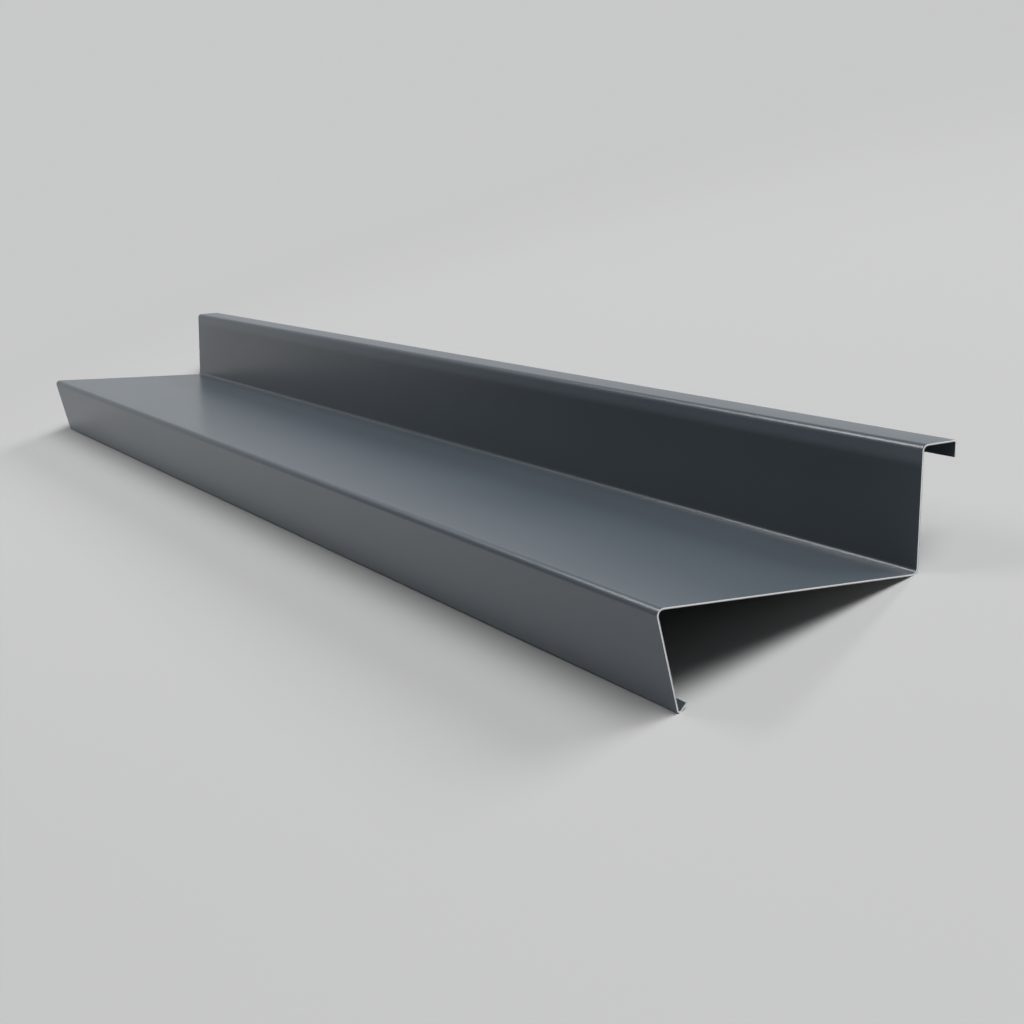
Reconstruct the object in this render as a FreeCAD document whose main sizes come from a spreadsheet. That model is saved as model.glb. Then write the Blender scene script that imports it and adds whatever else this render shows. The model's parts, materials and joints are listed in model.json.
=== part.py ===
"""Roof flashing: one length of coated sheet, folded across its width five times.

The section is drawn level, as it is fitted on a roof: Y runs from the front to the back, Z up, and the
length runs along X. From the back it goes up a short lip, forward over a top return, down the upstand,
forward along the base, down a slanting apron and back up in a small drip return. The finished piece then
lies as it would on a level floor, tipped back on the drip fold and the fold behind the base.
"""
import FreeCAD, Part
import math
import os
import Sketcher

# Driving dimensions, in millimetres and degrees, with what each one measures
SIZES = [
    ("overall_length", 1000, "length of the piece along the folds"),
    ("sheet_thickness", 0.9, "thickness of the coated sheet"),
    ("base_depth", 140, "front corner of the base to the face of the upstand"),
    ("upstand_height", 58, "top face of the base to the front corner of the top return"),
    ("top_return_depth", 20, "face of the upstand to the back of the lip"),
    ("lip_height", 8, "back corner of the top return to the lip's cut edge"),
    ("apron_drop", 46, "top face of the base to the underside of the drip fold"),
    ("drip_return_length", 5.5, "outside of the drip fold to the return's cut edge"),
    ("bend_radius", 2.4, "inside radius of the bends beside the base and the upstand"),
    ("fold_radius", 0.5, "inside radius of the tight folds at the lip and the drip"),
    ("top_return_rise", 3, "degrees that the top return rises towards the back"),
    ("apron_slant", 15, "degrees that the apron leans back from the vertical"),
    ("drip_opening", 55, "degrees between the apron and the drip return"),
]

# The six flat legs of the section, walked from the lip's cut edge to the return's
LIP, TOP, UPSTAND, BASE, APRON, DRIP = range(6)

# Ends of a sketch line or arc, and the sketch origin, as constraints name them
START, END, CENTRE = 1, 2, 3
ORIGIN = -1


def unit(heading):
    """Unit vector of a heading in the section plane, in degrees from +Y towards +Z."""
    return FreeCAD.Vector(math.cos(math.radians(heading)), math.sin(math.radians(heading)), 0)


def make_sheet(doc):
    """Spreadsheet of the driving dimensions, one named cell for each."""
    sheet = doc.addObject("Spreadsheet::Sheet", "Sizes")
    for row, (name, value, meaning) in enumerate(SIZES, start=1):
        sheet.set(f"A{row}", meaning)
        sheet.set(f"B{row}", str(value))
        sheet.setAlias(f"B{row}", name)
    doc.recompute()
    return sheet


class Bend:
    """Two concentric arcs that turn the sheet from one leg's heading to the next, round one corner.

    The corner is where the two legs' weather faces would meet. The sheet lies to the left of the walk, so
    a left turn has the weather face on its outside.
    """

    def __init__(self, corner, heading_in, heading_out, inside_radius, thickness):
        turn = (heading_out - heading_in + 180) % 360 - 180
        self.left_turn = turn > 0
        side = 1 if self.left_turn else -1
        outside_radius = inside_radius + thickness
        self.radii = (outside_radius, inside_radius) if self.left_turn else (inside_radius, outside_radius)
        setback = self.radii[0] * math.tan(math.radians(abs(turn)) / 2)
        self.across_in = unit(heading_in + 90) * side
        self.across_out = unit(heading_out + 90) * side
        self.centre = corner - unit(heading_in) * setback + self.across_in * self.radii[0]

    def ends(self, face):
        """Points where the arc on a face (0 weather, 1 back) leaves one leg and meets the next."""
        radius = self.radii[face]
        return self.centre - self.across_in * radius, self.centre - self.across_out * radius

    def arc(self, face):
        """Arc of the bend on a face, counter-clockwise as every sketch arc is."""
        first, last = (self.across_in, self.across_out) if self.left_turn else (self.across_out, self.across_in)
        start_angle = math.atan2(-first.y, -first.x)
        end_angle = math.atan2(-last.y, -last.x)
        circle = Part.Circle(self.centre, FreeCAD.Vector(0, 0, 1), self.radii[face])
        return Part.ArcOfCircle(circle, start_angle, end_angle)

    def arc_ends(self):
        """Names of the arc's ends, in the order of the walk."""
        return (START, END) if self.left_turn else (END, START)


def lay_out(sheet):
    """Headings of the legs, the five bends, and the two cut ends on the weather face, from the sizes."""
    thickness = sheet.sheet_thickness
    fold_outside = sheet.fold_radius + thickness
    rise = math.radians(sheet.top_return_rise)
    slant = math.radians(sheet.apron_slant)
    headings = [90, 180 + sheet.top_return_rise, 270, 180, 270 + sheet.apron_slant,
                90 + sheet.apron_slant - sheet.drip_opening]

    front = FreeCAD.Vector(0, 0, 0)
    inner = FreeCAD.Vector(sheet.base_depth, 0, 0)
    top_front = inner + FreeCAD.Vector(0, sheet.upstand_height, 0)
    top_back = top_front + FreeCAD.Vector(sheet.top_return_depth, sheet.top_return_depth * math.tan(rise), 0)
    apron_flat_end = (sheet.apron_drop - fold_outside + fold_outside * math.sin(slant)) / math.cos(slant)
    drip_setback = fold_outside / math.tan(math.radians(sheet.drip_opening) / 2)
    drip = front + unit(headings[APRON]) * (apron_flat_end + drip_setback)

    corners = [top_back, top_front, inner, front, drip]
    radii = [sheet.fold_radius, sheet.bend_radius, sheet.bend_radius, sheet.bend_radius, sheet.fold_radius]
    bends = [Bend(corner, headings[i], headings[i + 1], radii[i], thickness)
             for i, corner in enumerate(corners)]
    lip_end = top_back - FreeCAD.Vector(0, sheet.lip_height, 0)
    drip_end = bends[-1].ends(0)[1] + unit(headings[DRIP]) * (sheet.drip_return_length - fold_outside)
    return headings, bends, (lip_end, drip_end)


def draw_section(sketch, sheet):
    """Closed outline of the sheet: two faces of six legs and five bends, joined at the two cut ends."""
    headings, bends, cut_ends = lay_out(sheet)
    legs = ([], [])
    arcs = ([], [])
    for face in (0, 1):
        offset = face * sheet.sheet_thickness
        start = cut_ends[0] + unit(headings[LIP] + 90) * offset
        for i, heading in enumerate(headings):
            last = i == len(bends)
            end = cut_ends[1] + unit(heading + 90) * offset if last else bends[i].ends(face)[0]
            legs[face].append(sketch.addGeometry(Part.LineSegment(start, end), False))
            if not last:
                arcs[face].append(sketch.addGeometry(bends[i].arc(face), False))
                start = bends[i].ends(face)[1]
    cuts = []
    for leg, end, point in ((LIP, START, cut_ends[0]), (DRIP, END, cut_ends[1])):
        across = unit(headings[leg] + 90) * sheet.sheet_thickness
        cut = sketch.addGeometry(Part.LineSegment(point, point + across), False)
        for face, cut_end in ((0, START), (1, END)):
            sketch.addConstraint(Sketcher.Constraint("Coincident", cut, cut_end, legs[face][leg], end))
            sketch.addConstraint(Sketcher.Constraint("Perpendicular", cut, legs[face][leg]))
        cuts.append(cut)
    for i, bend in enumerate(bends):
        walk_in, walk_out = bend.arc_ends()
        for face in (0, 1):
            sketch.addConstraint(Sketcher.Constraint("Tangent", legs[face][i], END, arcs[face][i], walk_in))
            sketch.addConstraint(Sketcher.Constraint("Tangent", arcs[face][i], walk_out, legs[face][i + 1], START))
        sketch.addConstraint(Sketcher.Constraint("Coincident", arcs[0][i], CENTRE, arcs[1][i], CENTRE))
    return bends, legs[0], arcs, cuts


def size_section(sketch, bends, legs, arcs, cuts):
    """Dimensions of the outline, each bound to the sheet."""

    def bind(constraint, value, name, expression):
        index = sketch.addConstraint(Sketcher.Constraint(*constraint, value))
        sketch.renameConstraint(index, name)
        sketch.setExpression(f"Constraints.{name}", expression)

    def corner(leg_a, leg_b, near):
        """Construction point where two legs' weather faces would meet."""
        point = sketch.addGeometry(Part.Point(near), True)
        sketch.addConstraint(Sketcher.Constraint("PointOnObject", point, START, leg_a))
        sketch.addConstraint(Sketcher.Constraint("PointOnObject", point, START, leg_b))
        return point

    # Bend radii, the inside one as set and the outside one a sheet thicker
    inside = ["fold_radius", "bend_radius", "bend_radius", "bend_radius", "fold_radius"]
    for i, bend in enumerate(bends):
        for face, face_name in ((0, "weather"), (1, "back")):
            outside = bend.left_turn == (face == 0)
            expression = f"Sizes.{inside[i]} + Sizes.sheet_thickness" if outside else f"Sizes.{inside[i]}"
            bind(("Radius", arcs[face][i]), bend.radii[face], f"bend_{i + 1}_{face_name}", expression)

    # Directions of the legs
    sketch.addConstraint(Sketcher.Constraint("Vertical", legs[LIP]))
    sketch.addConstraint(Sketcher.Constraint("Vertical", legs[UPSTAND]))
    sketch.addConstraint(Sketcher.Constraint("Horizontal", legs[BASE]))
    directions = [
        (TOP, "top_direction", "(180 + Sizes.top_return_rise) * 1 deg"),
        (APRON, "apron_direction", "(Sizes.apron_slant - 90) * 1 deg"),
        (DRIP, "drip_direction", "(90 + Sizes.apron_slant - Sizes.drip_opening) * 1 deg"),
    ]
    for leg, name, expression in directions:
        line = sketch.Geometry[legs[leg]]
        along = line.EndPoint - line.StartPoint
        bind(("Angle", legs[leg]), math.atan2(along.y, along.x), name, expression)

    # Front corner of the base at the origin, and the upstand behind it
    sketch.addConstraint(Sketcher.Constraint("PointOnObject", ORIGIN, START, legs[BASE]))
    sketch.addConstraint(Sketcher.Constraint("PointOnObject", ORIGIN, START, legs[APRON]))
    upstand_foot = sketch.Geometry[legs[UPSTAND]].EndPoint
    bind(("DistanceX", ORIGIN, START, legs[UPSTAND], END), upstand_foot.x, "base", "Sizes.base_depth")

    # Top return and lip
    upstand_top = sketch.Geometry[legs[UPSTAND]].StartPoint
    lip_foot = sketch.Geometry[legs[LIP]].StartPoint
    top_front = corner(legs[TOP], legs[UPSTAND], upstand_top)
    top_back = corner(legs[LIP], legs[TOP], sketch.Geometry[legs[LIP]].EndPoint)
    bind(("DistanceY", ORIGIN, START, top_front, START), upstand_top.y, "upstand", "Sizes.upstand_height")
    bind(("DistanceX", legs[UPSTAND], START, legs[LIP], START), lip_foot.x - upstand_top.x,
         "top_return", "Sizes.top_return_depth")
    bind(("DistanceY", legs[LIP], START, top_back, START), lip_foot.y, "lip", "Sizes.lip_height")

    # Apron and drip return, measured over the outside of the drip fold
    fold_outside = "(Sizes.fold_radius + Sizes.sheet_thickness)"
    fold_centre = bends[-1].centre
    bind(("DistanceY", arcs[0][-1], CENTRE, ORIGIN, START), -fold_centre.y, "apron",
         f"Sizes.apron_drop - {fold_outside}")
    drip_end = sketch.Geometry[legs[DRIP]].EndPoint
    bind(("Distance", arcs[0][-1], CENTRE, cuts[1]), (drip_end - fold_centre).Length, "drip",
         f"Sizes.drip_return_length - {fold_outside}")


def make_flashing(doc, sheet):
    """The folded sheet: its section on the YZ plane, padded along the length, half to each side."""
    body = doc.addObject("PartDesign::Body", "flashing")
    plane = next(feature for feature in body.Origin.OriginFeatures if feature.Role == "YZ_Plane")
    sketch = body.newObject("Sketcher::SketchObject", "Section")
    sketch.AttachmentSupport = [(plane, "")]
    sketch.MapMode = "FlatFace"
    size_section(sketch, *draw_section(sketch, sheet))
    pad = body.newObject("PartDesign::Pad", "Length")
    pad.Profile = sketch
    pad.SideType = "Symmetric"
    pad.setExpression("Length", "Sizes.overall_length")
    doc.recompute()
    return body, sketch


def resting_tilt(bends):
    """Degrees that the level section tips back to lie on the drip fold and the fold behind the base.

    Both folds are round underneath, so the floor is the line that touches their two circles from below.
    """
    drip, inner = bends[-1], bends[2]
    span = inner.centre - drip.centre
    slope = math.atan2(span.y, span.x)
    lift = math.asin((max(drip.radii) - max(inner.radii)) / span.Length)
    return math.degrees(slope + lift)


def lay_down(doc, body, tilt):
    """Tip the piece back about its length, with the middle of its footprint at the origin."""
    turn = FreeCAD.Rotation(FreeCAD.Vector(1, 0, 0), -tilt)
    body.Placement = FreeCAD.Placement(FreeCAD.Vector(0, 0, 0), turn)
    doc.recompute()
    box = body.Shape.optimalBoundingBox(False, False)
    body.Placement = FreeCAD.Placement(FreeCAD.Vector(-box.Center.x, -box.Center.y, -box.ZMin), turn)
    doc.recompute()


def check(doc, body, sketch):
    """Stop where anything in the document failed to build, or the section is left loose."""
    for item in doc.Objects:
        if "Invalid" in item.State or "Error" in item.State:
            raise RuntimeError(f"{item.Label} failed: {item.State}")
    if not sketch.FullyConstrained:
        raise RuntimeError("the section is not fully constrained")
    if body.Shape.isNull() or not body.Shape.isValid() or len(body.Shape.Solids) != 1:
        raise RuntimeError("the flashing is not one valid solid")


def main():
    doc = FreeCAD.newDocument("RoofFlashing")
    sheet = make_sheet(doc)
    body, sketch = make_flashing(doc, sheet)
    bends = lay_out(sheet)[1]
    lay_down(doc, body, resting_tilt(bends))
    check(doc, body, sketch)
    os.makedirs("parts", exist_ok=True)
    body.Shape.exportStep(f"parts/{body.Label}.step")
    print(f"{body.Label}: volume {body.Shape.Volume:.1f} mm3, tilt {resting_tilt(bends):.3f} degrees")


main()
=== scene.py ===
"""Roof flashing: one length of slate-grey coated sheet, folded five times, with bare sheared edges.

Lengths are in metres and angles in degrees. The section is worked out level, as the piece is fitted:
Y from the front to the back, Z up, X along the folds. lay_down() then tips it back onto the floor,
where the frame has it.
"""
import json
import math

import bpy
import numpy as np
from mathutils import Matrix, Vector


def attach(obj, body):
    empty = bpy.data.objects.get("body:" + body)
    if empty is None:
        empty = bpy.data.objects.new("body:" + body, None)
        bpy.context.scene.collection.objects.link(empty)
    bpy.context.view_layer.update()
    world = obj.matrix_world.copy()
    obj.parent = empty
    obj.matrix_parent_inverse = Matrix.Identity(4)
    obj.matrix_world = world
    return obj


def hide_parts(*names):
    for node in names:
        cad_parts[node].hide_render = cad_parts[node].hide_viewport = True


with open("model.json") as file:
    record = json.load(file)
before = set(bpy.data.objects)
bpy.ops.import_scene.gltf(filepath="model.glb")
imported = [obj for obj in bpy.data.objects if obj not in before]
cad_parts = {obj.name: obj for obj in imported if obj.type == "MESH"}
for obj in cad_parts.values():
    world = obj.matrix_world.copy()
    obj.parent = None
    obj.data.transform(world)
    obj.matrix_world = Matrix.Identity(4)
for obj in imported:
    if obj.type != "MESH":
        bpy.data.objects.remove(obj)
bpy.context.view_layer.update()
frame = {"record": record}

NODE = "flashing"
MM = 0.001

# Driving dimensions of the folded sheet
LENGTH = 1.0
THICKNESS = 0.9 * MM
BASE_DEPTH = 140 * MM
UPSTAND_HEIGHT = 58 * MM
TOP_RETURN_DEPTH = 20 * MM
LIP_HEIGHT = 8 * MM
APRON_DROP = 46 * MM
DRIP_RETURN_LENGTH = 5.5 * MM
BEND_RADIUS = 2.4 * MM
FOLD_RADIUS = 0.5 * MM
TOP_RETURN_RISE = 3.0
APRON_SLANT = 15.0
DRIP_OPENING = 55.0

# Headings in the section, from the back (+Y) towards up (+Z)
UP = 90
FORWARD = 180
DOWN = 270
QUARTER_TURN = 90
HALF_TURN = 180

# Fineness of the mesh. The reach of the close stations beside a cut is a number of weather edge roundings.
BEND_STEP = 6.0
LEG_STEP = 10 * MM
LENGTH_STEP = 12.5 * MM
EDGE_STEPS = 3
EDGE_REACH = 3

# Small departures from a perfect sheet: rounded sheared corners, and flats that are not quite flat.
# A wave is its length and its share of the height; the height is a share of the flat's width.
# Phases are in turns: each wave is shifted by its share, and by the number of the leg.
WEATHER_EDGE = 0.10 * MM
BACK_EDGE = 0.06 * MM
WAVES = ((0.61, 0.5), (0.37, 0.33), (0.23, 0.17))
WAVE_HEIGHT = 0.0012
WAVE_PHASE = 1.7
LEG_PHASE = 0.1

# Map of the unfolded sheet: two faces, then the four sheared edges drawn wide, with a margin between them.
# Its patches are numbered in that order, and some are turned over, so that none is mirrored.
MAP_MARGIN = 0.01
FACE_HEIGHT = 0.41
EDGE_HEIGHT = 0.02
FIRST_EDGE = 2
FIRST_END = 4
TURNED_OVER = (1, 2, 5)

# Coating: its colour, the tone and roughness of its mottle and streaks, which add up, and its orange peel.
# Noise scales are in features a metre.
COAT_COLOUR = (0.0635, 0.079, 0.0945)
COAT_IOR = 1.5
MOTTLE_SCALE = 9.0
MOTTLE_DETAIL = 3.0
MOTTLE_TONE = (-0.025, 0.025)
MOTTLE_ROUGHNESS = (0.282, 0.306)
STREAK_SCALE = 260.0
STREAK_STRETCH = (0.006, 1.0, 1.0)
STREAK_TONE = (0.994, 1.006)
STREAK_ROUGHNESS = (-0.003, 0.003)
PEEL_SCALE = 260.0
PEEL_STRENGTH = 0.1
PEEL_HEIGHT = 0.02 * MM

# Sheared metal: burnished at the weather face, broken and dull towards the back, with a ragged line between.
# The depth in the sheet, 0 at the weather face and 1 at the back, is an attribute of the mesh.
EDGE_COLOUR = (0.93, 0.94, 0.95)
EDGE_TONE = (1.0, 0.5)
EDGE_ROUGHNESS = (0.38, 0.58)
BREAK_DEPTH = (0.5, 0.68)
BREAK_RAGGED = (-0.12, 0.12)
TOOTH_SCALE = 2600.0
TOOTH_DETAIL = 3.0
TOOTH_TONE = (0.92, 1.0)
DEPTH_ATTRIBUTE = "depth"

# The usual detail of a noise texture, and the middle range of its values
NOISE_DETAIL = 2.0
NOISE_RANGE = (0.3, 0.7)

# Camera, measured from the front corner of the base at the end near it, with the piece level.
# The lens and the sensor are in millimetres.
LENS = 57.17
SENSOR = 36.0
CAMERA_CLIP = (0.01, 200.0)
CAMERA_PLACE = Vector((0.5318, -0.3616, 0.1584))
CAMERA_AZIMUTH = 60.97
CAMERA_ELEVATION = 10.51
CAMERA_ROLL = 0.28

# Studio: the floor fades to the backdrop between two distances from the middle of the piece,
# and the backdrop dims to its ceiling share between two elevations
BACKDROP = (0.578, 0.58, 0.583)
FLOOR = (0.428, 0.429, 0.431)
FLOOR_RADIUS = 30.0
FLOOR_SIDES = 96
FLOOR_FADE = (0.42, 1.1)
SKY_STRENGTH = 0.03
CEILING_SHARE = 0.4
CEILING_RISE = (9.0, 28.0)

# Softboxes: name, place, point they face, width, height, watts
LIGHTS = (
    ("overhead", (2.4, 2.0, 5.7), (0.1, 0.0, 0.0), 4.4, 3.2, 438.0),
    ("back", (2.4, 6.0, 3.5), (0.1, 0.0, 0.0), 4.4, 2.4, 350.0),
    ("side", (-0.9, -0.22, 1.32), (0.5, 0.0, 0.0), 0.75, 0.3, 8.4),
    ("front", (-0.5, -3.0, 0.045), (0.0, 0.0, 0.02), 2.4, 0.07, 22.5),
    ("fill", (0.0, -3.0, 0.5), (0.0, 0.0, 0.02), 2.4, 0.95, 6.0),
    ("end", (2.9, 0.9, 0.25), (0.5, 0.0, 0.03), 2.4, 0.6, 10.0),
)

# Dark cards out of the picture, which only reflections show: name, place, point they face, width, height
FLAGS = (
    ("low_flag", (-1.5, -1.5, 0.5), (0.2, 0.0, 0.4), 1.6, 1.0),
    ("high_flag", (-1.98, -0.74, 1.05), (0.2, 0.0, 0.05), 0.8, 0.6),
)
FLAG_COLOUR = (0.02, 0.02, 0.02)


def unit(heading):
    """Unit vector along a heading in the section."""
    angle = math.radians(heading)
    return np.array([math.cos(angle), math.sin(angle)])


def section_legs():
    """Headings of the six legs, and their ends on the weather face as they would be with sharp bends."""
    rise = math.radians(TOP_RETURN_RISE)
    slant = math.radians(APRON_SLANT)
    fold_outside = FOLD_RADIUS + THICKNESS
    apron_heading = DOWN + APRON_SLANT
    drip_heading = apron_heading + HALF_TURN - DRIP_OPENING
    headings = [UP, FORWARD + TOP_RETURN_RISE, DOWN, FORWARD, apron_heading, drip_heading]
    front = np.zeros(2)
    inner = np.array([BASE_DEPTH, 0.0])
    top_front = inner + (0.0, UPSTAND_HEIGHT)
    top_back = top_front + (TOP_RETURN_DEPTH, TOP_RETURN_DEPTH * math.tan(rise))
    lip_end = top_back - (0.0, LIP_HEIGHT)
    drip_setback = fold_outside / math.tan(math.radians(DRIP_OPENING) / 2)
    apron_flat = (APRON_DROP - fold_outside + fold_outside * math.sin(slant)) / math.cos(slant)
    drip = front + unit(apron_heading) * (apron_flat + drip_setback)
    drip_end = drip + unit(drip_heading) * (DRIP_RETURN_LENGTH - fold_outside + drip_setback)
    return headings, [lip_end, top_back, top_front, inner, front, drip, drip_end]


def section():
    """Stations of the walk over the weather face, from the lip's cut edge to the drip return's.

    Each station is a point on the weather face, the normal from it into the sheet, the distance walked,
    the number of its leg, and a weight that is the leg's width in the middle of a flat and 0 at its bends.
    """
    headings, corners = section_legs()
    radii = [FOLD_RADIUS, BEND_RADIUS, BEND_RADIUS, BEND_RADIUS, FOLD_RADIUS]
    points, normals, legs, weights = [], [], [], []
    setback_before = 0.0
    for leg, heading in enumerate(headings):
        along = unit(heading)
        into = unit(heading + QUARTER_TURN)
        last = leg == len(radii)
        turn = 0.0 if last else (headings[leg + 1] - heading + HALF_TURN) % (2 * HALF_TURN) - HALF_TURN
        radius = 0.0 if last else radii[leg] + (THICKNESS if turn > 0 else 0.0)
        setback = radius * math.tan(math.radians(abs(turn)) / 2)
        start = corners[leg] + along * setback_before
        flat = np.linalg.norm(corners[leg + 1] - corners[leg]) - setback_before - setback
        for place in leg_places(flat, first=leg == 0, last=last):
            points.append(start + along * place)
            normals.append(into)
            legs.append(leg)
            weights.append(flat * math.sin(math.pi * place / flat) ** 2)
        if not last:
            side = math.copysign(1.0, turn)
            centre = start + along * flat + into * side * radius
            steps = math.ceil(abs(turn) / BEND_STEP)
            for step in range(1, steps):
                spoke = unit(heading + QUARTER_TURN + turn * step / steps)
                points.append(centre - spoke * side * radius)
                normals.append(spoke)
                legs.append(leg)
                weights.append(0.0)
        setback_before = setback
    points = np.array(points)
    walked = np.concatenate([[0.0], np.cumsum(np.linalg.norm(np.diff(points, axis=0), axis=1))])
    return points, np.array(normals), walked, np.array(legs), np.array(weights)


def edge_places():
    """Distances from a sheared edge at which its rounding and the flat beside it get stations."""
    angles = [math.pi / 2 * step / EDGE_STEPS for step in range(EDGE_STEPS + 1)]
    rounding = [WEATHER_EDGE * (1 - math.cos(angle)) for angle in angles]
    return [*rounding, EDGE_REACH * WEATHER_EDGE]


def leg_places(flat, first, last):
    """Stations along a flat leg, from bend to bend, with close ones beside a cut end."""
    head = edge_places() if first else [0.0]
    tail = [flat - place for place in reversed(edge_places())] if last else [flat]
    steps = max(1, round((tail[0] - head[-1]) / LEG_STEP))
    middle = np.linspace(head[-1], tail[0], steps + 1)[1:-1]
    return [*head, *middle, *tail]


def length_places():
    """Stations along the length, with close ones beside the sheared ends."""
    head = [-LENGTH / 2 + place for place in edge_places()]
    steps = round((LENGTH - 2 * edge_places()[-1]) / LENGTH_STEP)
    middle = np.linspace(head[-1], -head[-1], steps + 1)[1:-1]
    return np.array([*head, *middle, *(-place for place in reversed(head))])


def rounding_inset(distance, radius):
    """How far a rounded corner stands in from the face, at a distance from the cut."""
    reach = np.clip(radius - distance, 0.0, radius)
    return radius - np.sqrt(radius ** 2 - reach ** 2)


def unevenness(x, legs, weights):
    """Slow waves over the flats, for sheet that isn't perfectly flat, fading to nothing at the bends."""
    waves = sum(share * np.sin(2 * np.pi * (x / length + WAVE_PHASE * share + LEG_PHASE * legs))
                for length, share in WAVES)
    return WAVE_HEIGHT * weights * waves


def sheet_vertices(xs, points, normals, walked, legs, weights):
    """Vertices of the weather face and the back face, as arrays of rings by stations by 3, level.

    The sheet's four corners are rounded in its own plane too: what stands outside that rounding is
    pulled in along the section.
    """
    total = walked[-1]
    faces = np.zeros((2, len(xs), len(points), 3))
    along = np.gradient(points, walked, axis=0)
    along /= np.linalg.norm(along, axis=1)[:, None]
    edge = np.minimum(walked, total - walked)
    for ring, x in enumerate(xs):
        end = np.array([LENGTH / 2 - abs(x)])
        pull = np.clip(rounding_inset(end, WEATHER_EDGE) - edge, 0.0, None)
        pull *= np.where(walked < total / 2, 1.0, -1.0)
        lift = unevenness(x, legs, weights)
        for face, radius in ((0, WEATHER_EDGE), (1, BACK_EDGE)):
            inset = np.maximum(rounding_inset(edge, radius), rounding_inset(end, radius))
            depth = inset if face == 0 else THICKNESS - inset
            faces[face, ring, :, 0] = x
            faces[face, ring, :, 1:] = points + normals * (depth + lift)[:, None] + along * pull[:, None]
    return faces


def sheet_quads(rings, stations):
    """Quads of the closed sheet: the patch of each, and its corners as face, ring and station.

    The patches are the weather face, the back face, the cut edges of the lip and the drip return,
    and the two sheared ends.
    """
    patches, quads = [], []
    for ring in range(rings - 1):
        for station in range(stations - 1):
            corners = ((ring, station), (ring + 1, station), (ring + 1, station + 1), (ring, station + 1))
            quads.append([(0, *corner) for corner in corners])
            quads.append([(1, *corner) for corner in reversed(corners)])
            patches += [0, 1]
        for patch, station in ((FIRST_EDGE, 0), (FIRST_EDGE + 1, stations - 1)):
            quad = [(0, ring, station), (1, ring, station), (1, ring + 1, station), (0, ring + 1, station)]
            quads.append(quad if station == 0 else quad[::-1])
            patches.append(patch)
    for station in range(stations - 1):
        for patch, ring in ((FIRST_END, 0), (FIRST_END + 1, rings - 1)):
            quad = [(0, ring, station), (1, ring, station), (1, ring, station + 1), (0, ring, station + 1)]
            quads.append(quad[::-1] if ring == 0 else quad)
            patches.append(patch)
    return np.array(patches), np.array(quads)


def unfolded_map(patches, quads, xs, walked):
    """Places of the quads' corners in a map of the sheet as it was before it was folded."""
    along = (xs / LENGTH + 0.5)[quads[..., 1]]
    across = (walked / walked[-1])[quads[..., 2]]
    deep = quads[..., 0].astype(float)
    wide = np.where(patches[:, None] < FIRST_END, along, across)
    high = np.where(patches[:, None] < FIRST_EDGE, across, deep)
    turned = np.isin(patches, TURNED_OVER)
    high[turned] = 1 - high[turned]
    heights = np.array([FACE_HEIGHT] * 2 + [EDGE_HEIGHT] * 4)
    bottoms = MAP_MARGIN + np.concatenate([[0.0], np.cumsum(heights[:-1] + MAP_MARGIN)])
    wide = MAP_MARGIN + wide * (1 - 2 * MAP_MARGIN)
    high = bottoms[patches][:, None] + high * heights[patches][:, None]
    return np.stack([wide, high], axis=-1)


def lay_down(points):
    """Matrix that tips the level piece back onto its drip fold and the fold behind the base."""
    axis = next(m["axis"] for m in frame["record"]["mounts"] if m["name"] == "base_underside")
    tilt = math.atan2(-axis[1], -axis[2])
    turn = Matrix.Rotation(-tilt, 4, "X")
    tipped = points @ np.array(turn.to_3x3()).T
    low, high = tipped.min(0), tipped.max(0)
    middle = (low + high) / 2
    return Matrix.Translation((-middle[0], -middle[1], -low[2])) @ turn


def make_flashing():
    """The folded sheet as one closed mesh, laid on the floor, and the matrix that laid it there."""
    points, normals, walked, legs, weights = section()
    xs = length_places()
    level = sheet_vertices(xs, points, normals, walked, legs, weights).reshape(-1, 3)
    laid = lay_down(level)
    patches, quads = sheet_quads(len(xs), len(points))
    numbers = (quads[..., 0] * len(xs) + quads[..., 1]) * len(points) + quads[..., 2]
    mesh = bpy.data.meshes.new("folded_sheet")
    mesh.from_pydata(level.tolist(), [], numbers.tolist())
    mesh.transform(laid)
    mesh.polygons.foreach_set("material_index", (patches >= FIRST_EDGE).astype(np.int32))
    mesh.polygons.foreach_set("use_smooth", np.ones(len(patches), dtype=bool))
    unfolded = unfolded_map(patches, quads, xs, walked)
    mesh.uv_layers.new(name="OFBake").uv.foreach_set("vector", unfolded.ravel().astype(np.float32))
    depth = mesh.attributes.new(DEPTH_ATTRIBUTE, "FLOAT", "POINT")
    depth.data.foreach_set("value", np.repeat([0.0, 1.0], len(level) // 2).astype(np.float32))
    mesh.update()
    sharpen_cuts(mesh)
    piece = bpy.data.objects.new("folded_sheet", mesh)
    bpy.context.scene.collection.objects.link(piece)
    return piece, laid


def sharpen_cuts(mesh):
    """Sharp edges where a sheared face meets a coated one."""
    kinds_at = {}
    for polygon in mesh.polygons:
        for key in polygon.edge_keys:
            kinds_at.setdefault(key, set()).add(polygon.material_index)
    for edge in mesh.edges:
        edge.use_edge_sharp = len(kinds_at[edge.key]) > 1


def principled(name):
    """New material with its nodes, its links and its Principled shader."""
    material = bpy.data.materials.new(name)
    material.use_nodes = True
    nodes = material.node_tree.nodes
    return material, nodes, material.node_tree.links, nodes["Principled BSDF"]


def noise(nodes, links, place, scale, stretch=(1.0, 1.0, 1.0), detail=NOISE_DETAIL):
    """Noise texture over object coordinates, which are first scaled along X, Y and Z."""
    mapping = nodes.new("ShaderNodeMapping")
    mapping.inputs["Scale"].default_value = stretch
    links.new(place, mapping.inputs["Vector"])
    texture = nodes.new("ShaderNodeTexNoise")
    texture.inputs["Scale"].default_value = scale
    texture.inputs["Detail"].default_value = detail
    links.new(mapping.outputs["Vector"], texture.inputs["Vector"])
    return texture.outputs["Fac"]


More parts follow.
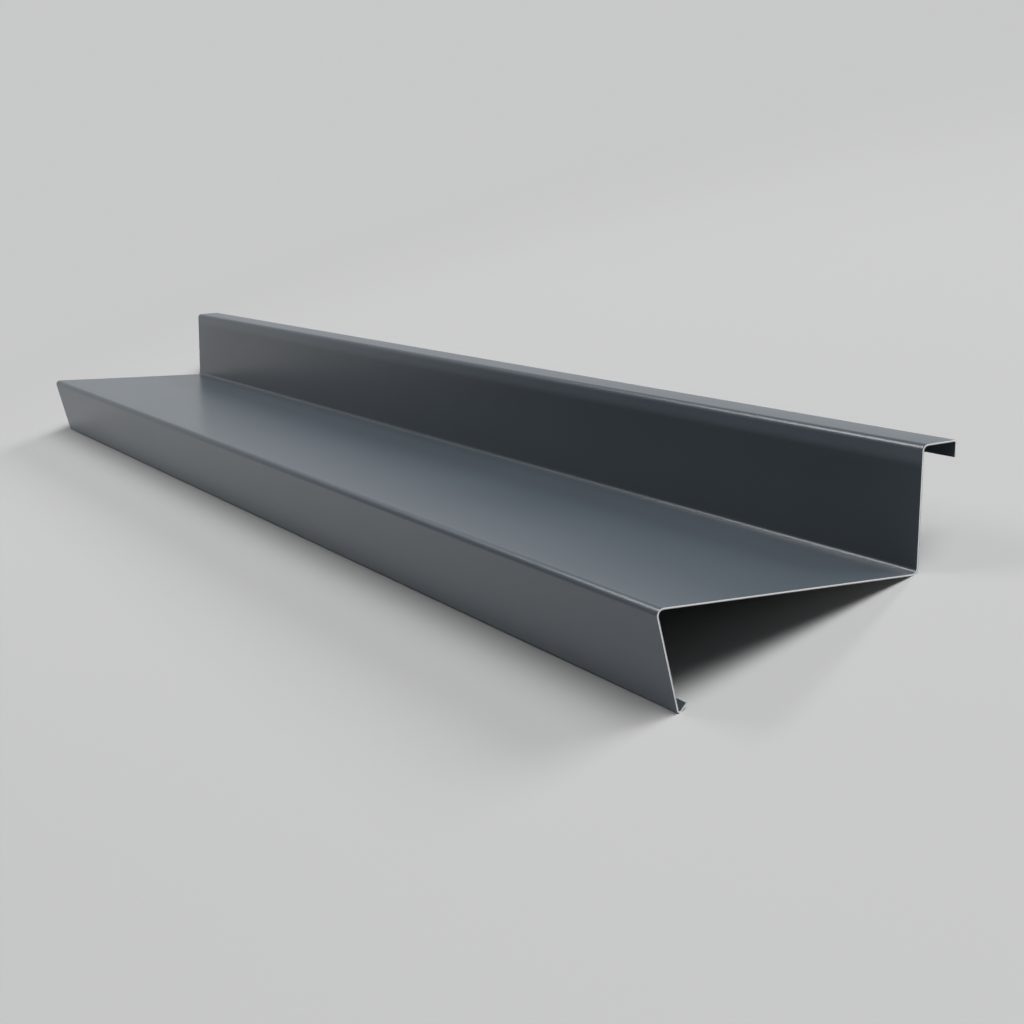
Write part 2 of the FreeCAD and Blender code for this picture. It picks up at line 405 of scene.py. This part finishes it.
def remap(nodes, links, value, source, target, smooth=False):
    """A value mapped from one range onto another, and held at its ends."""
    node = nodes.new("ShaderNodeMapRange")
    node.interpolation_type = "SMOOTHSTEP" if smooth else "LINEAR"
    for name, number in zip(("From Min", "From Max", "To Min", "To Max"), (*source, *target)):
        node.inputs[name].default_value = number
    links.new(value, node.inputs["Value"])
    return node.outputs["Result"]


def combine(nodes, links, operation, first, second):
    """The sum, the product or the larger of two values, as the operation says."""
    node = nodes.new("ShaderNodeMath")
    node.operation = operation
    links.new(first, node.inputs[0])
    links.new(second, node.inputs[1])
    return node.outputs[0]


def shade(nodes, links, colour, amount):
    """A colour scaled by an amount."""
    node = nodes.new("ShaderNodeVectorMath")
    node.operation = "SCALE"
    node.inputs[0].default_value = colour
    links.new(amount, node.inputs["Scale"])
    return node.outputs["Vector"]


def coated_material():
    """Satin slate-grey coil coating: faint mottle, streaks along the coil and a fine orange peel."""
    material, nodes, links, shader = principled("slate_coating")
    place = nodes.new("ShaderNodeTexCoord").outputs["Object"]
    mottle = noise(nodes, links, place, MOTTLE_SCALE, detail=MOTTLE_DETAIL)
    streaks = noise(nodes, links, place, STREAK_SCALE, stretch=STREAK_STRETCH)
    peel = noise(nodes, links, place, PEEL_SCALE)
    tone = combine(nodes, links, "ADD", remap(nodes, links, mottle, NOISE_RANGE, MOTTLE_TONE),
                   remap(nodes, links, streaks, NOISE_RANGE, STREAK_TONE))
    gloss = combine(nodes, links, "ADD", remap(nodes, links, mottle, NOISE_RANGE, MOTTLE_ROUGHNESS),
                    remap(nodes, links, streaks, NOISE_RANGE, STREAK_ROUGHNESS))
    bump = nodes.new("ShaderNodeBump")
    bump.inputs["Strength"].default_value = PEEL_STRENGTH
    bump.inputs["Distance"].default_value = PEEL_HEIGHT
    links.new(peel, bump.inputs["Height"])
    links.new(shade(nodes, links, COAT_COLOUR, tone), shader.inputs["Base Color"])
    links.new(gloss, shader.inputs["Roughness"])
    links.new(bump.outputs["Normal"], shader.inputs["Normal"])
    shader.inputs["IOR"].default_value = COAT_IOR
    return material


def sheared_material():
    """Bare metal of the sheared edges: burnished where the blade went in, dull where the sheet broke away."""
    material, nodes, links, shader = principled("sheared_edge")
    place = nodes.new("ShaderNodeTexCoord").outputs["Object"]
    tooth = noise(nodes, links, place, TOOTH_SCALE, detail=TOOTH_DETAIL)
    depth = nodes.new("ShaderNodeAttribute")
    depth.attribute_name = DEPTH_ATTRIBUTE
    ragged = combine(nodes, links, "ADD", depth.outputs["Fac"],
                     remap(nodes, links, tooth, NOISE_RANGE, BREAK_RAGGED))
    tone = combine(nodes, links, "MULTIPLY", remap(nodes, links, ragged, BREAK_DEPTH, EDGE_TONE),
                   remap(nodes, links, tooth, NOISE_RANGE, TOOTH_TONE))
    links.new(shade(nodes, links, EDGE_COLOUR, tone), shader.inputs["Base Color"])
    links.new(remap(nodes, links, ragged, BREAK_DEPTH, EDGE_ROUGHNESS), shader.inputs["Roughness"])
    shader.inputs["Metallic"].default_value = 1.0
    return material


def seen_or_reflected(nodes, links):
    """1 for rays that show the background in the picture, in a reflection or through glass."""
    path = nodes.new("ShaderNodeLightPath")
    total = path.outputs["Is Camera Ray"]
    for name in ("Is Glossy Ray", "Is Transmission Ray"):
        total = combine(nodes, links, "MAXIMUM", total, path.outputs[name])
    return total


def make_floor():
    """Pale floor that fades into the backdrop's colour away from the piece, so no horizon shows."""
    bpy.ops.mesh.primitive_circle_add(vertices=FLOOR_SIDES, radius=FLOOR_RADIUS, fill_type="NGON")
    floor = bpy.context.object
    floor.name = "floor"
    material = bpy.data.materials.new("floor")
    material.use_nodes = True
    nodes = material.node_tree.nodes
    links = material.node_tree.links
    nodes.clear()
    paper = nodes.new("ShaderNodeBsdfDiffuse")
    paper.inputs["Color"].default_value = (*FLOOR, 1)
    far = nodes.new("ShaderNodeEmission")
    far.inputs["Color"].default_value = (*BACKDROP, 1)
    distance = nodes.new("ShaderNodeVectorMath")
    distance.operation = "LENGTH"
    links.new(nodes.new("ShaderNodeNewGeometry").outputs["Position"], distance.inputs[0])
    fade = remap(nodes, links, distance.outputs["Value"], FLOOR_FADE, (0.0, 1.0), smooth=True)
    mix = nodes.new("ShaderNodeMixShader")
    links.new(combine(nodes, links, "MULTIPLY", fade, seen_or_reflected(nodes, links)), mix.inputs["Fac"])
    links.new(paper.outputs["BSDF"], mix.inputs[1])
    links.new(far.outputs["Emission"], mix.inputs[2])
    output = nodes.new("ShaderNodeOutputMaterial")
    links.new(mix.outputs["Shader"], output.inputs["Surface"])
    floor.data.materials.append(material)


def make_world():
    """Studio surroundings: a faint light, seen and reflected in the backdrop's colour."""
    world = bpy.data.worlds.new("studio")
    bpy.context.scene.world = world
    world.use_nodes = True
    nodes = world.node_tree.nodes
    links = world.node_tree.links
    nodes.clear()
    sky = nodes.new("ShaderNodeBackground")
    sky.inputs["Strength"].default_value = SKY_STRENGTH
    shown = nodes.new("ShaderNodeBackground")
    shown.inputs["Color"].default_value = (*BACKDROP, 1)
    height = nodes.new("ShaderNodeSeparateXYZ")
    links.new(nodes.new("ShaderNodeTexCoord").outputs["Generated"], height.inputs["Vector"])
    rise = [math.sin(math.radians(elevation)) for elevation in CEILING_RISE]
    dim = remap(nodes, links, height.outputs["Z"], rise, (1.0, CEILING_SHARE), smooth=True)
    links.new(dim, shown.inputs["Strength"])
    mix = nodes.new("ShaderNodeMixShader")
    links.new(seen_or_reflected(nodes, links), mix.inputs["Fac"])
    links.new(sky.outputs["Background"], mix.inputs[1])
    links.new(shown.outputs["Background"], mix.inputs[2])
    output = nodes.new("ShaderNodeOutputWorld")
    links.new(mix.outputs["Shader"], output.inputs["Surface"])


def facing(place, target):
    """Rotation that turns an object's -Z axis from its place to a target."""
    return (Vector(target) - Vector(place)).to_track_quat("-Z", "Y").to_euler()


def make_lights():
    """Soft lamps around the piece, which the camera doesn't see."""
    for name, place, target, width, height, watts in LIGHTS:
        data = bpy.data.lights.new(name, "AREA")
        data.shape = "RECTANGLE"
        data.size = width
        data.size_y = height
        data.energy = watts
        lamp = bpy.data.objects.new(name, data)
        lamp.location = place
        lamp.rotation_euler = facing(place, target)
        lamp.visible_camera = False
        bpy.context.scene.collection.objects.link(lamp)


def make_flags():
    """Dark cards for the piece to reflect, which cast no shadow."""
    material, _, _, shader = principled("flag")
    shader.inputs["Base Color"].default_value = (*FLAG_COLOUR, 1)
    shader.inputs["Roughness"].default_value = 1.0
    for name, place, target, width, height in FLAGS:
        bpy.ops.mesh.primitive_plane_add(size=1.0, location=place, rotation=facing(place, target))
        flag = bpy.context.object
        flag.name = name
        flag.scale = (width, height, 1.0)
        flag.visible_camera = False
        flag.visible_diffuse = False
        flag.visible_shadow = False
        flag.data.materials.append(material)


def make_camera(laid):
    """Camera that sees the piece as the picture does, carried along as the piece is laid down."""
    azimuth = math.radians(CAMERA_AZIMUTH)
    elevation = math.radians(CAMERA_ELEVATION)
    back = Vector((math.sin(azimuth) * math.cos(elevation), -math.cos(azimuth) * math.cos(elevation),
                   math.sin(elevation)))
    right = Vector((math.cos(azimuth), math.sin(azimuth), 0.0))
    up = back.cross(right)
    roll = Matrix.Rotation(math.radians(CAMERA_ROLL), 4, "Z")
    axes = Matrix((right, up, back)).transposed().to_4x4() @ roll
    near_corner = Vector((LENGTH / 2, 0.0, 0.0))
    data = bpy.data.cameras.new("camera")
    data.lens = LENS
    data.sensor_width = SENSOR
    data.clip_start, data.clip_end = CAMERA_CLIP
    camera = bpy.data.objects.new("camera", data)
    camera.matrix_world = laid @ Matrix.Translation(near_corner + CAMERA_PLACE) @ axes
    bpy.context.scene.collection.objects.link(camera)
    bpy.context.scene.camera = camera


flashing, laid = make_flashing()
flashing.data.materials.append(coated_material())
flashing.data.materials.append(sheared_material())
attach(flashing, "root")
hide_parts(NODE)
make_floor()
make_world()
make_lights()
make_flags()
make_camera(laid)
bpy.context.scene.view_settings.view_transform = "Standard"
